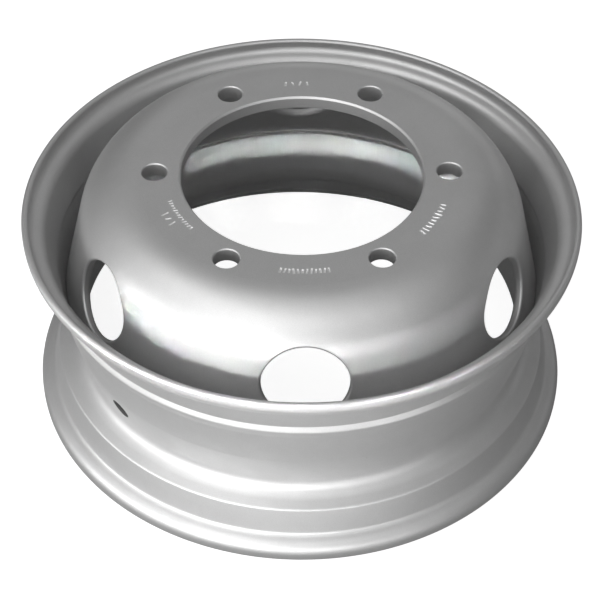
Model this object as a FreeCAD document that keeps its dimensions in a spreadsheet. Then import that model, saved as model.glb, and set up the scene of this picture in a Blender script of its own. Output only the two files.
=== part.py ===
import FreeCAD, Part
import math
import os
import Sketcher

# Pressed and rolled steel wheel for a light truck: a rolled drop centre rim with tapered
# bead seats, and a dished disc with a centre bore, a ring of bolt holes and a ring of
# round hand holes, held together by one weld run inside the rim.
# The wheel lies on the inboard edge of the rim. The wheel's axis is +Z, the origin is at
# the centre of the floor, and one hand hole faces -Y. Lengths are millimetres, angles degrees.

SIZES = {
    # rim, tyre side
    "bead_radius": 222.25,
    "inside_width": 152.4,
    "flange_height": 12.7,
    "flange_width": 17.8,
    "flange_lean": 16.0,
    "rim_gauge": 5.5,
    "curl_radius": 11.8,
    "heel_radius": 5.0,
    "tip_round": 1.5,
    "seat_angle": 15.0,
    "seat_width": 28.6,
    "short_seat_width": 24.2,
    "ridge_rise_run": 5.0,
    "ridge_rise_angle": 21.0,
    "ridge_fall_run": 8.0,
    "ridge_fall_angle": 18.5,
    "ridge_round": 5.0,
    "wall_run": 40.0,
    "wall_angle": 12.4,
    "well_angle": 15.5,
    "flank_lean": 18.0,
    "well_round": 15.0,
    "shoulder_round": 2.5,
    # valve hole
    "valve_hole_radius": 7.85,
    "valve_hole_bevel": 1.8,
    "valve_hole_drop": 17.5,
    "valve_bearing": 220.4,
    # disc
    "dish_height": 31.0,
    "nave_gauge": 12.0,
    "skirt_gauge": 7.0,
    "skirt_taper": 1.5,
    "skirt_depth": 113.0,
    "skirt_flare": 14.0,
    "land_height": 6.0,
    "seat_clearance": 0.3,
    # bolt holes, and the flat metal round them: toward the bore, and out to where the disc
    # starts to bend on its outboard side and on its hub side
    "bolt_circle_radius": 122.5,
    "bolt_hole_radius": 10.75,
    "bolt_hole_bevel": 0.8,
    "bore_setback": 21.5,
    "nut_land": 3.7,
    "hub_land": 5.3,
    "bore_bevel": 1.5,
    "bore_back_bevel": 1.0,
    # hand holes
    "hole_count": 6,
    "hand_hole_depth": 55.7,
    "hand_hole_half_width": 34.8,
    "hand_hole_half_height": 32.4,
    "hand_hole_tilt": 15.2,
    "hand_hole_round": 1.8,
    "hand_hole_coin": 3.8,
    # weld
    "weld_leg": 6.5,
    "weld_bulge": 1.1,
}


class Size:
    """A number together with the sheet expression that drives it."""

    def __init__(self, value, text):
        self.value = value
        self.text = text

    @staticmethod
    def of(thing):
        """Turn a plain number into a size that no cell drives."""
        if isinstance(thing, Size):
            return thing
        return Size(float(thing), str(thing))

    def combine(self, other, sign, value):
        """Join two sizes with an arithmetic sign."""
        return Size(value, "(%s %s %s)" % (self.text, sign, Size.of(other).text))

    def __add__(self, other):
        return self.combine(other, "+", self.value + Size.of(other).value)

    def __sub__(self, other):
        return self.combine(other, "-", self.value - Size.of(other).value)

    def __mul__(self, other):
        return self.combine(other, "*", self.value * Size.of(other).value)

    def __truediv__(self, other):
        return self.combine(other, "/", self.value / Size.of(other).value)

    def __rsub__(self, other):
        return Size.of(other) - self

    def __neg__(self):
        return Size(-self.value, "(0 - %s)" % self.text)


def cell(name):
    """The size kept in one cell of the sheet."""
    return Size(float(SIZES[name]), "Sizes." + name)


def tan(angle):
    """Tangent of an angle in degrees."""
    return Size(math.tan(math.radians(angle.value)), "tan(%s)" % angle.text)


def sin(angle):
    """Sine of an angle in degrees."""
    return Size(math.sin(math.radians(angle.value)), "sin(%s)" % angle.text)


def cos(angle):
    """Cosine of an angle in degrees."""
    return Size(math.cos(math.radians(angle.value)), "cos(%s)" % angle.text)


def make_sheet(doc):
    """Write every driving size into its own cell."""
    sheet = doc.addObject("Spreadsheet::Sheet", "Sizes")
    for row, (name, value) in enumerate(SIZES.items(), start=1):
        sheet.set("A%d" % row, name)
        sheet.set("B%d" % row, str(value))
        sheet.setAlias("B%d" % row, name)
    doc.recompute()
    return sheet


def origin_item(body, role):
    """One of the origin planes or axes of a body."""
    for item in body.Origin.OriginFeatures:
        if item.Role == role:
            return item
    raise RuntimeError("no origin item called " + role)


def new_body(doc, name):
    """A body whose label is the name of its file."""
    body = doc.addObject("PartDesign::Body", name)
    body.Label = name
    return body


def new_sketch(body, name, role):
    """A sketch on one of the body's origin planes."""
    sketch = body.newObject("Sketcher::SketchObject", name)
    sketch.AttachmentSupport = [(origin_item(body, role), "")]
    sketch.MapMode = "FlatFace"
    return sketch


def bind(sketch, constraint, size):
    """Add a dimension to a sketch and drive it from the sheet."""
    index = sketch.addConstraint(constraint)
    sketch.setExpression("Constraints[%d]" % index, size.text)


def place_point(sketch, shape, end, x, y):
    """Dimension a point of a sketch from the sketch's origin."""
    for kind, size, axis in (("DistanceX", x, -2), ("DistanceY", y, -1)):
        if size.text == "0":
            sketch.addConstraint(Sketcher.Constraint("PointOnObject", shape, end, axis))
        else:
            bind(sketch, Sketcher.Constraint(kind, -1, 1, shape, end, size.value), size)


def turn_at(before, here, after):
    """Half of the angle through which an outline turns at a corner."""
    first = (here - before).normalize()
    second = (after - here).normalize()
    return 0.5 * math.acos(max(-1.0, min(1.0, first.dot(second))))


def draw_outline(sketch, corners):
    """Draw a closed outline from corners (x, y, round), each round an arc tangent to both sides."""
    count = len(corners)
    spots = [FreeCAD.Vector(x.value, y.value, 0) for x, y, _ in corners]
    halves = [turn_at(spots[i - 1], spots[i], spots[(i + 1) % count]) for i in range(count)]
    cuts = [0.0 if c[2] is None else c[2].value * math.tan(halves[i]) for i, c in enumerate(corners)]
    sides = []
    for i in range(count):
        along = (spots[(i + 1) % count] - spots[i]).normalize()
        start = spots[i] + along * cuts[i]
        finish = spots[(i + 1) % count] - along * cuts[(i + 1) % count]
        sides.append(sketch.addGeometry(Part.LineSegment(start, finish), False))
    for i, (x, y, rounding) in enumerate(corners):
        before = sides[i - 1]
        after = sides[i]
        if rounding is None:
            sketch.addConstraint(Sketcher.Constraint("Coincident", before, 2, after, 1))
            place_point(sketch, after, 1, x, y)
            continue
        corner = sketch.addGeometry(Part.Point(spots[i]), True)
        place_point(sketch, corner, 1, x, y)
        for side in (before, after):
            sketch.addConstraint(Sketcher.Constraint("PointOnObject", corner, 1, side))
        draw_round(sketch, spots, i, halves[i], cuts[i], before, after, rounding)


def draw_round(sketch, spots, i, half, cut, before, after, rounding):
    """Draw the arc that rounds corner i and tie it to the two sides."""
    here = spots[i]
    back = (spots[i - 1] - here).normalize()
    ahead = (spots[(i + 1) % len(spots)] - here).normalize()
    inward = (back + ahead).normalize()
    start = here + back * cut
    finish = here + ahead * cut
    middle = here + inward * (rounding.value / math.cos(half) - rounding.value)
    arc = sketch.addGeometry(Part.Arc(start, middle, finish), False)
    arc_first = 1
    if sketch.getPoint(arc, 1).distanceToPoint(start) > sketch.getPoint(arc, 2).distanceToPoint(start):
        arc_first = 2
    sketch.addConstraint(Sketcher.Constraint("Tangent", before, 2, arc, arc_first))
    sketch.addConstraint(Sketcher.Constraint("Tangent", after, 1, arc, 3 - arc_first))
    bind(sketch, Sketcher.Constraint("Radius", arc, rounding.value), rounding)


def revolve(body, sketch, name):
    """Turn a section once round the wheel's axis."""
    turned = body.newObject("PartDesign::Revolution", name)
    turned.Profile = sketch
    turned.ReferenceAxis = (sketch, ["V_Axis"])
    turned.Angle = 360
    return turned


def cut_check(doc, body, feature, volume_before):
    """Make sure a cut has really taken material away."""
    doc.recompute()
    if not body.Shape.Volume < volume_before - 1.0:
        raise RuntimeError("nothing was cut by " + feature.Name)


def edge_names(shape, wanted):
    """Names of the edges whose points all pass a test."""
    names = []
    for number, edge in enumerate(shape.Edges, start=1):
        points = edge.discretize(5)
        if all(wanted(math.hypot(p.x, p.y), p.z, p) for p in points):
            names.append("Edge%d" % number)
    if not names:
        raise RuntimeError("no edge found")
    return names


def dress(body, kind, name, base, names, size):
    """Round or bevel a list of edges by a size from the sheet."""
    feature = body.newObject("PartDesign::" + kind, name)
    feature.Base = (base, names)
    prop = "Radius" if kind == "Fillet" else "Size"
    setattr(feature, prop, size.value)
    feature.setExpression(prop, size.text)
    return feature


def polar_pattern(body, name, feature):
    """Repeat a cut round the wheel's axis."""
    pattern = body.newObject("PartDesign::PolarPattern", name)
    pattern.Originals = [feature]
    pattern.Axis = (origin_item(body, "Z_Axis"), [""])
    pattern.Angle = 360
    pattern.Occurrences = int(SIZES["hole_count"])
    pattern.setExpression("Occurrences", cell("hole_count").text)
    body.Tip = pattern
    return pattern


# Heights that both pieces use, from the floor upward.
RIM_WIDTH = cell("inside_width") + cell("flange_width") * 2
OUTER_HEEL = cell("inside_width") + cell("flange_width")
INNER_HEEL = cell("flange_width")
FACE = RIM_WIDTH + cell("dish_height")
SKIRT_END = FACE - cell("skirt_depth")
LAND_TOP = SKIRT_END + cell("land_height")
BACK = FACE - cell("nave_gauge")

# The disc's bore and the reach of its bolt holes, from the axis outward.
BORE_RADIUS = cell("bolt_circle_radius") - cell("bore_setback")
BOLT_REACH = cell("bolt_circle_radius") + cell("bolt_hole_radius")

# A cut starts this many gauges outside the wall and runs on for this many gauges.
START_GAUGES = 2
CUT_GAUGES = 5

# Slack in millimetres when an edge is looked for on a surface.
ON_SURFACE = 0.05

# Tyre side of the rim, from the outboard edge down to the inboard edge.
EDGE_RADIUS = cell("bead_radius") + cell("flange_height")
FLANGE_ANGLE = 90 - cell("flange_lean")
LEAN_RUN = cell("flange_height") * tan(cell("flange_lean"))
SEAT_END = (
    cell("bead_radius") - cell("seat_width") * tan(cell("seat_angle")),
    OUTER_HEEL - cell("seat_width"),
)
RIDGE = (
    SEAT_END[0] + cell("ridge_rise_run") * tan(cell("ridge_rise_angle")),
    SEAT_END[1] - cell("ridge_rise_run"),
)
WALL_TOP = (
    RIDGE[0] - cell("ridge_fall_run") * tan(cell("ridge_fall_angle")),
    RIDGE[1] - cell("ridge_fall_run"),
)
WALL_END = (
    WALL_TOP[0] - cell("wall_run") * tan(cell("wall_angle")),
    WALL_TOP[1] - cell("wall_run"),
)
SHOULDER = (
    cell("bead_radius") - cell("short_seat_width") * tan(cell("seat_angle")),
    INNER_HEEL + cell("short_seat_width"),
)


def well_corner():
    """Where the well's cone meets the steep flank below it."""
    slope = tan(cell("well_angle"))
    rise = tan(cell("flank_lean"))
    run = WALL_END[1] - SHOULDER[1] - rise * SHOULDER[0]
    radius = (WALL_END[0] - slope * run) / (slope * rise + 1)
    return radius, SHOULDER[1] + rise * (SHOULDER[0] - radius)


def wall_radius(height):
    """Inner radius of the rim's wall, where the disc sits, at a height."""
    lean = cell("wall_angle")
    return WALL_TOP[0] - (WALL_TOP[1] - height) * tan(lean) - cell("rim_gauge") / cos(lean)


def rim_corners():
    """Corners of the rim's section: tyre side down, then the inside back up."""
    gauge = cell("rim_gauge")
    level = Size.of(0)
    seat = cell("seat_angle")
    tip = cell("tip_round")
    curl = cell("curl_radius")
    heel = cell("heel_radius")
    # place, angle of the stretch above, angle of the stretch below, round outside, round inside
    path = [
        ((EDGE_RADIUS, OUTER_HEEL + LEAN_RUN), level, FLANGE_ANGLE, curl, curl - gauge),
        ((cell("bead_radius"), OUTER_HEEL), FLANGE_ANGLE, seat, heel, heel + gauge),
        (SEAT_END, seat, -cell("ridge_rise_angle"), None, gauge),
        (RIDGE, -cell("ridge_rise_angle"), cell("ridge_fall_angle"), cell("ridge_round"), None),
        (WALL_TOP, cell("ridge_fall_angle"), cell("wall_angle"), None, None),
        (WALL_END, cell("wall_angle"), cell("well_angle"), None, None),
        (well_corner(), cell("well_angle"), cell("flank_lean") - 90,
         cell("well_round"), cell("well_round") + gauge),
        (SHOULDER, cell("flank_lean") - 90, -seat, cell("shoulder_round"), None),
        ((cell("bead_radius"), INNER_HEEL), -seat, -FLANGE_ANGLE, heel, heel + gauge),
        ((EDGE_RADIUS, INNER_HEEL - LEAN_RUN), -FLANGE_ANGLE, level, curl, curl - gauge),
    ]
    tyre_side = [(EDGE_RADIUS, RIM_WIDTH, tip)]
    inside = [(EDGE_RADIUS - gauge, RIM_WIDTH, tip)]
    for (radius, height), above, below, outer_round, inner_round in path:
        mean = (above + below) / 2
        spread = cos((above - below) / 2)
        tyre_side.append((radius, height, outer_round))
        inside.append((radius - gauge * cos(mean) / spread,
                       height + gauge * sin(mean) / spread, inner_round))
    tyre_side.append((EDGE_RADIUS, level, tip))
    inside.append((EDGE_RADIUS - gauge, level, tip))
    return tyre_side + inside[::-1]


def make_rim(doc):
    """The rolled rim with its valve hole."""
    body = new_body(doc, "rim")
    section = new_sketch(body, "RimSection", "XZ_Plane")
    draw_outline(section, rim_corners())
    turned = revolve(body, section, "RimRoll")
    doc.recompute()
    volume = body.Shape.Volume

    centre_height = WALL_END[1] - cell("valve_hole_drop")
    centre_radius = WALL_END[0] - cell("valve_hole_drop") * tan(cell("well_angle"))
    start_out = cell("rim_gauge") * START_GAUGES
    hole = new_sketch(body, "ValveHoleSketch", "XZ_Plane")
    tilt_sketch(hole, -1.0, cell("well_angle"),
                centre_height - start_out * sin(cell("well_angle")),
                centre_radius + start_out * cos(cell("well_angle")))
    ring = hole.addGeometry(Part.Circle(FreeCAD.Vector(0, 0, 0), FreeCAD.Vector(0, 0, 1),
                                        cell("valve_hole_radius").value), False)
    hole.addConstraint(Sketcher.Constraint("Coincident", ring, 3, -1, 1))
    bind(hole, Sketcher.Constraint("Radius", ring, cell("valve_hole_radius").value),
         cell("valve_hole_radius"))
    pocket = body.newObject("PartDesign::Pocket", "ValveHole")
    pocket.Profile = hole
    pocket.setExpression("Length", (cell("rim_gauge") * CUT_GAUGES).text)
    cut_check(doc, body, pocket, volume)

    limit = cell("valve_hole_radius").value + cell("valve_hole_bevel").value
    depth = cell("rim_gauge").value / 2
    tilt = math.radians(cell("well_angle").value)

    def on_tyre_side(radius, height, point):
        across = abs(point.x)
        rise = height - centre_height.value
        out = (-point.y - centre_radius.value) * math.cos(tilt) - rise * math.sin(tilt)
        return across < limit and abs(rise) < limit and out > -depth and point.y < 0

    dress(body, "Chamfer", "ValveHoleBevel", pocket, edge_names(pocket.Shape, on_tyre_side),
          cell("valve_hole_bevel"))
    body.Placement = FreeCAD.Placement(FreeCAD.Vector(0, 0, 0),
                                       FreeCAD.Rotation(FreeCAD.Vector(0, 0, 1), 0))
    body.setExpression("Placement.Rotation.Angle", (cell("valve_bearing") - 270).text)
    return body


def tilt_sketch(sketch, way, tilt, height, distance):
    """Lay a sketch on the -Y side at a height and a distance from the axis, leaned by an angle."""
    turn = FreeCAD.Rotation(FreeCAD.Vector(-way, 0, 0), tilt.value)
    sketch.AttachmentOffset = FreeCAD.Placement(
        FreeCAD.Vector(0, height.value, distance.value), turn)
    sketch.setExpression("AttachmentOffset.Base.y", height.text)
    sketch.setExpression("AttachmentOffset.Base.z", distance.text)
    sketch.setExpression("AttachmentOffset.Rotation.Angle", tilt.text)


def land_edge_radius():
    """Outer radius of the disc where its skirt meets the narrow band that sits in the rim."""
    return wall_radius(LAND_TOP) - cell("seat_clearance")


def round_past(corner_radius, flat, lean):
    """Round between a level face and a skirt that starts a flat's width past the bolt holes."""
    return (corner_radius - BOLT_REACH - flat) / tan((90 - lean) / 2)


def disc_corners():
    """Corners of the disc's section, from the bore over the crown to the skirt's end and back."""
    flare = cell("skirt_flare")
    land_radius = land_edge_radius()
    crown = land_radius - (FACE - LAND_TOP) * tan(flare)
    inner_lean = flare + cell("skirt_taper")
    inner_end = (land_radius + cell("land_height") * tan(flare)
                 - cell("skirt_gauge") / cos(flare))
    throat = inner_end - (BACK - SKIRT_END) * tan(inner_lean)
    return [
        (BORE_RADIUS, FACE, None),
        (crown, FACE, round_past(crown, cell("nut_land"), flare)),
        (land_radius, LAND_TOP, None),
        (wall_radius(SKIRT_END) - cell("seat_clearance"), SKIRT_END, None),
        (inner_end, SKIRT_END, None),
        (throat, BACK, round_past(throat, cell("hub_land"), inner_lean)),
        (BORE_RADIUS, BACK, None),
    ]


def draw_ellipse(sketch, half_width, half_height):
    """Draw an ellipse at the sketch's origin, its wide way level."""
    shape = Part.Ellipse(FreeCAD.Vector(half_width.value, 0, 0),
                         FreeCAD.Vector(0, half_height.value, 0), FreeCAD.Vector(0, 0, 0))
    oval = sketch.addGeometry(shape, False)
    sketch.exposeInternalGeometry(oval)
    sketch.addConstraint(Sketcher.Constraint("Coincident", oval, 3, -1, 1))
    wide = oval + 1
    tall = oval + 2
    sketch.addConstraint(Sketcher.Constraint("Horizontal", wide))
    bind(sketch, Sketcher.Constraint("Distance", wide, 2 * half_width.value), half_width * 2)
    bind(sketch, Sketcher.Constraint("Distance", tall, 2 * half_height.value), half_height * 2)


def make_disc(doc):
    """The dished disc with its bore, bolt holes and hand holes."""
    body = new_body(doc, "disc")
    section = new_sketch(body, "DiscSection", "XZ_Plane")
    corners = disc_corners()
    draw_outline(section, corners)
    revolve(body, section, "DiscPressing")
    doc.recompute()
    volume = body.Shape.Volume

    bolt = new_sketch(body, "BoltHoleSketch", "XY_Plane")
    ring = bolt.addGeometry(Part.Circle(FreeCAD.Vector(cell("bolt_circle_radius").value, 0, 0),
                                        FreeCAD.Vector(0, 0, 1),
                                        cell("bolt_hole_radius").value), False)
    bolt.addConstraint(Sketcher.Constraint("PointOnObject", ring, 3, -1))
    bind(bolt, Sketcher.Constraint("DistanceX", -1, 1, ring, 3, cell("bolt_circle_radius").value),
         cell("bolt_circle_radius"))
    bind(bolt, Sketcher.Constraint("Radius", ring, cell("bolt_hole_radius").value),
         cell("bolt_hole_radius"))
    bolt_hole = body.newObject("PartDesign::Pocket", "BoltHole")
    bolt_hole.Profile = bolt
    bolt_hole.Reversed = True
    bolt_hole.setExpression("Length", (FACE * 2).text)
    cut_check(doc, body, bolt_hole, volume)
    bolt_ring = polar_pattern(body, "BoltHoles", bolt_hole)
    doc.recompute()
    volume = body.Shape.Volume

    start_out = cell("skirt_gauge") * START_GAUGES
    tilt = cell("hand_hole_tilt")
    centre_height = FACE - cell("hand_hole_depth")
    centre_radius = (land_edge_radius()
                     - (centre_height - LAND_TOP) * tan(cell("skirt_flare")))
    opening = new_sketch(body, "HandHoleSketch", "XZ_Plane")
    tilt_sketch(opening, 1.0, tilt, centre_height + start_out * sin(tilt),
                centre_radius + start_out * cos(tilt))
    draw_ellipse(opening, cell("hand_hole_half_width"), cell("hand_hole_half_height"))
    hand_hole = body.newObject("PartDesign::Pocket", "HandHole")
    hand_hole.Profile = opening
    hand_hole.setExpression("Length", (cell("skirt_gauge") * CUT_GAUGES * 2).text)
    cut_check(doc, body, hand_hole, volume)
    hand_ring = polar_pattern(body, "HandHoles", hand_hole)
    doc.recompute()

    outer_surface, inner_surface = surface_radii(corners)
    reach = cell("hand_hole_half_height").value + cell("skirt_gauge").value
    low = centre_height.value - reach
    high = centre_height.value + reach

    def on_outside(radius, height, point):
        return low < height < high and abs(radius - outer_surface(height)) < ON_SURFACE

    def on_inside(radius, height, point):
        return low < height < high and abs(radius - inner_surface(height)) < ON_SURFACE

    def not_level(shape, names):
        kept = []
        for name in names:
            heights = [p.z for p in shape.Edges[int(name[4:]) - 1].discretize(5)]
            if max(heights) - min(heights) > ON_SURFACE:
                kept.append(name)
        return kept

    shape = hand_ring.Shape
    rounded = dress(body, "Fillet", "HandHoleRound", hand_ring,
                    not_level(shape, edge_names(shape, on_outside)), cell("hand_hole_round"))
    doc.recompute()
    shape = rounded.Shape
    coined = dress(body, "Fillet", "HandHoleCoin", rounded,
                   not_level(shape, edge_names(shape, on_inside)), cell("hand_hole_coin"))
    doc.recompute()

    bore = BORE_RADIUS.value
    bolt_circle = cell("bolt_circle_radius").value
    bolt_reach = cell("bolt_hole_radius").value + ON_SURFACE

    def bore_at(level):
        def on_bore(radius, height, point):
            return abs(radius - bore) < ON_SURFACE and abs(height - level) < ON_SURFACE
        return on_bore

    def bolt_rim(radius, height, point):
        return abs(height - FACE.value) < ON_SURFACE and abs(radius - bolt_circle) < bolt_reach

    bevel = dress(body, "Chamfer", "BoreBevel", coined,
                  edge_names(coined.Shape, bore_at(FACE.value)), cell("bore_bevel"))
    doc.recompute()
    back_bevel = dress(body, "Chamfer", "BoreBackBevel", bevel,
                       edge_names(bevel.Shape, bore_at(BACK.value)), cell("bore_back_bevel"))
    doc.recompute()
    dress(body, "Chamfer", "BoltHoleBevel", back_bevel, edge_names(back_bevel.Shape, bolt_rim),
          cell("bolt_hole_bevel"))
    return body


def surface_radii(corners):
    """Radius of the disc's outer and inner surface at a height, as two functions."""

    def surface(corner, foot):
        top_radius, top, rounding = (size.value for size in corner)
        lean = math.atan2(foot[0].value - top_radius, top - foot[1].value)
        reach = rounding * math.tan((math.pi / 2 - lean) / 2)
        centre_radius = top_radius - reach
        centre_height = top - rounding
        join = centre_height + rounding * math.sin(lean)

        def radius_at(height):
            if height < join:
                return top_radius + (top - height) * math.tan(lean)
            rise = min(rounding, height - centre_height)
            return centre_radius + math.sqrt(rounding ** 2 - rise ** 2)

        return radius_at

    return surface(corners[1], corners[2]), surface(corners[5], corners[4])


def make_weld(doc):
    """The weld run between the skirt's end and the rim's wall."""
    body = new_body(doc, "weld_bead")
    leg = cell("weld_leg")
    root = (wall_radius(SKIRT_END) - cell("seat_clearance"), SKIRT_END)
    on_disc = (root[0] - leg, SKIRT_END)
    on_rim = (wall_radius(SKIRT_END - leg) - cell("seat_clearance"), SKIRT_END - leg)
    section = new_sketch(body, "WeldSection", "XZ_Plane")
    points = [FreeCAD.Vector(x.value, y.value, 0) for x, y in (root, on_disc, on_rim)]
    middle = (points[1] + points[2]) * 0.5
    outward = (middle - points[0]).normalize()
    crown = middle + outward * cell("weld_bulge").value
    top = section.addGeometry(Part.LineSegment(points[1], points[0]), False)
    side = section.addGeometry(Part.LineSegment(points[0], points[2]), False)
    face = section.addGeometry(Part.Arc(points[1], crown, points[2]), False)
    chord = points[1].distanceToPoint(points[2])
    section.addConstraint(Sketcher.Constraint("Coincident", top, 2, side, 1))
    place_point(section, top, 1, *on_disc)
    place_point(section, side, 1, *root)
    place_point(section, side, 2, *on_rim)
    first = 1
    if section.getPoint(face, 1).distanceToPoint(points[1]) > chord / 2:
        first = 2
    section.addConstraint(Sketcher.Constraint("Coincident", face, first, top, 1))
    section.addConstraint(Sketcher.Constraint("Coincident", face, 3 - first, side, 2))
    bulge = cell("weld_bulge")
    half_chord_squared = ((on_disc[0] - on_rim[0]) * (on_disc[0] - on_rim[0]) + leg * leg) / 4
    radius = (half_chord_squared + bulge * bulge) / (bulge * 2)
    bind(section, Sketcher.Constraint("Radius", face, radius.value), radius)
    revolve(body, section, "WeldRun")
    return body


def check_document(doc, bodies):
    """Stop before any file is written if an object or a shape has failed."""
    for item in doc.Objects:
        for state in item.State:
            if state in ("Invalid", "Error"):
                raise RuntimeError("%s is %s" % (item.Name, state))
    for body in bodies:
        shape = body.Shape
        if shape.isNull() or not shape.isValid():
            raise RuntimeError("bad shape in " + body.Label)
        if len(shape.Solids) != 1:
            raise RuntimeError("%s has %d solids" % (body.Label, len(shape.Solids)))


def main():
    """Build the wheel and write one file for each piece."""
    doc = FreeCAD.newDocument("TruckWheel")
    make_sheet(doc)
    bodies = [make_rim(doc), make_disc(doc), make_weld(doc)]
    doc.recompute()
    check_document(doc, bodies)
    os.makedirs("parts", exist_ok=True)
    for body in bodies:
        body.Shape.exportStep(os.path.join("parts", body.Label + ".step"))
        box = body.Shape.BoundBox
        print("%s volume %.0f box %.2f %.2f %.2f" % (
            body.Label, body.Shape.Volume, box.XLength, box.YLength, box.ZLength))


main()
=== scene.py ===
# Looks of the pressed steel truck wheel: a turned rim with its valve hole, a dished disc with
# stamped marks, the rippled weld run between them, silver paint, and a plain photo studio.
# The wheel lies on its inboard edge. The sizes of the pieces are millimetres and degrees. Meshes,
# the trees' inputs, the camera and the lamps are metres, and the trees' angles are radians.

import logging
import math
from dataclasses import dataclass
from enum import Enum

import bmesh
import bpy
from mathutils import Matrix, Vector
from mathutils.bvhtree import BVHTree


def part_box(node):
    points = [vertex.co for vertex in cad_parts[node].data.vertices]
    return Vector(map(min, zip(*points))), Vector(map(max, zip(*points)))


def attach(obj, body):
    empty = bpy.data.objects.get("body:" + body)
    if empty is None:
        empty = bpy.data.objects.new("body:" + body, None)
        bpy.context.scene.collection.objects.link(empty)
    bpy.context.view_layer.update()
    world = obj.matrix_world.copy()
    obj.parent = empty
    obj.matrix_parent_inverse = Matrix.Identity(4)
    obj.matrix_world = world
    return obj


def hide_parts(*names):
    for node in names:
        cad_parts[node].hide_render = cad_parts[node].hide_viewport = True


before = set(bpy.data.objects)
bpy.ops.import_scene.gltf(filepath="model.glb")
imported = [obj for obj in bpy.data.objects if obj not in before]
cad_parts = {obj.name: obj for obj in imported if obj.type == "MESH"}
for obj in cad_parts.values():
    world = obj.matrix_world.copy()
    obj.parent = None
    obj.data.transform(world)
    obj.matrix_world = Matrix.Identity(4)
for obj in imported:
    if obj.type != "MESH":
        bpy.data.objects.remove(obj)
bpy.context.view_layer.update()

MM = 0.001
SAME_SPOT = 1e-6  # points nearer than this, in metres, become one
BODY = "root"
log = logging.getLogger("truck_wheel")

Socket = bpy.types.NodeSocket
Finish = bpy.types.Material
Piece = bpy.types.Object


class CadNode(Enum):
    """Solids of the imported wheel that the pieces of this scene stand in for."""

    RIM = "rim"
    DISC = "disc"
    WELD = "weld_bead"


class Texture(Enum):
    """What the steel under the paint shows."""

    ROLLED = "rolled"
    PRESSED = "pressed"
    WELDED = "welded"
    # Drilled carries the valve hole's near-black painted shade, stamped the strokes' lighter
    # painted highlight.
    DRILLED = "drilled"
    STAMPED = "stamped"


class Wiring:
    """Lays nodes into a node tree and joins their sockets."""

    def __init__(self, tree: bpy.types.NodeTree) -> None:
        """Takes the tree that the nodes go into.

        Args:
            tree: A shader or geometry node tree.
        """
        self.tree = tree

    def add(self, kind: str, **settings: object) -> bpy.types.Node:
        """Adds one node.

        Args:
            kind: Full name of the node's type.
            settings: Properties of the node, such as its operation.

        Returns:
            The new node.
        """
        node = self.tree.nodes.new(kind)
        for name, value in settings.items():
            setattr(node, name, value)
        return node

    def feed(self, socket: Socket, value: object) -> None:
        """Joins a socket to another one, or sets its plain value.

        Args:
            socket: The input that is fed.
            value: An output socket, or a number, colour or vector.
        """
        if isinstance(value, Socket):
            self.tree.links.new(value, socket)
        else:
            socket.default_value = value

    def put(self, kind: str, inputs: dict, output: object = 0, **settings: object) -> Socket:
        """Adds a node, feeds its inputs and gives one of its outputs.

        Args:
            kind: Full name of the node's type.
            inputs: Values by the input's name or number.
            output: Name or number of the output wanted.
            settings: Properties of the node.

        Returns:
            The output socket.
        """
        node = self.add(kind, **settings)
        for name, value in inputs.items():
            self.feed(node.inputs[name], value)
        return node.outputs[output]

    def math(self, operation: str, first: object, second: object = 0.0) -> Socket:
        """Adds a Math node.

        Args:
            operation: The node's operation.
            first: First number or socket.
            second: Second number or socket.

        Returns:
            The node's value.
        """
        return self.put("ShaderNodeMath", {0: first, 1: second}, operation=operation)

    def whole(self, operation: str, first: object, second: object = 0) -> Socket:
        """Adds a whole-number Math node to a geometry tree.

        Args:
            operation: The node's operation.
            first: First number or socket.
            second: Second number or socket.

        Returns:
            The node's value.
        """
        return self.put("FunctionNodeIntegerMath", {0: first, 1: second}, operation=operation)

    def polar(self, radius: object, angle: object, height: object) -> Socket:
        """Gives a place by its radius, its angle round the upright axis and its height."""
        return self.put("ShaderNodeCombineXYZ", {
            0: self.math("MULTIPLY", radius, self.math("COSINE", angle)),
            1: self.math("MULTIPLY", radius, self.math("SINE", angle)), 2: height})

    def blend(self, factor: object, first: object, second: object) -> Socket:
        """Mixes two colours.

        Args:
            factor: Share of the second colour, from 0 to 1.
            first: First colour or socket.
            second: Second colour or socket.

        Returns:
            The mixed colour.
        """
        node = self.add("ShaderNodeMix", data_type="RGBA")
        self.feed(node.inputs[0], factor)
        self.feed(node.inputs[6], first)
        self.feed(node.inputs[7], second)
        return node.outputs[2]

    def spread(self, value: object, old: tuple, new: tuple = (0.0, 1.0)) -> Socket:
        """Maps a value smoothly from one range onto another.

        Args:
            value: The value that is mapped.
            old: Start and end of the range it comes from.
            new: Start and end of the range it goes to.

        Returns:
            The mapped value.
        """
        return self.put("ShaderNodeMapRange", dict(enumerate((value, *old, *new))),
                        interpolation_type="SMOOTHSTEP")


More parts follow.
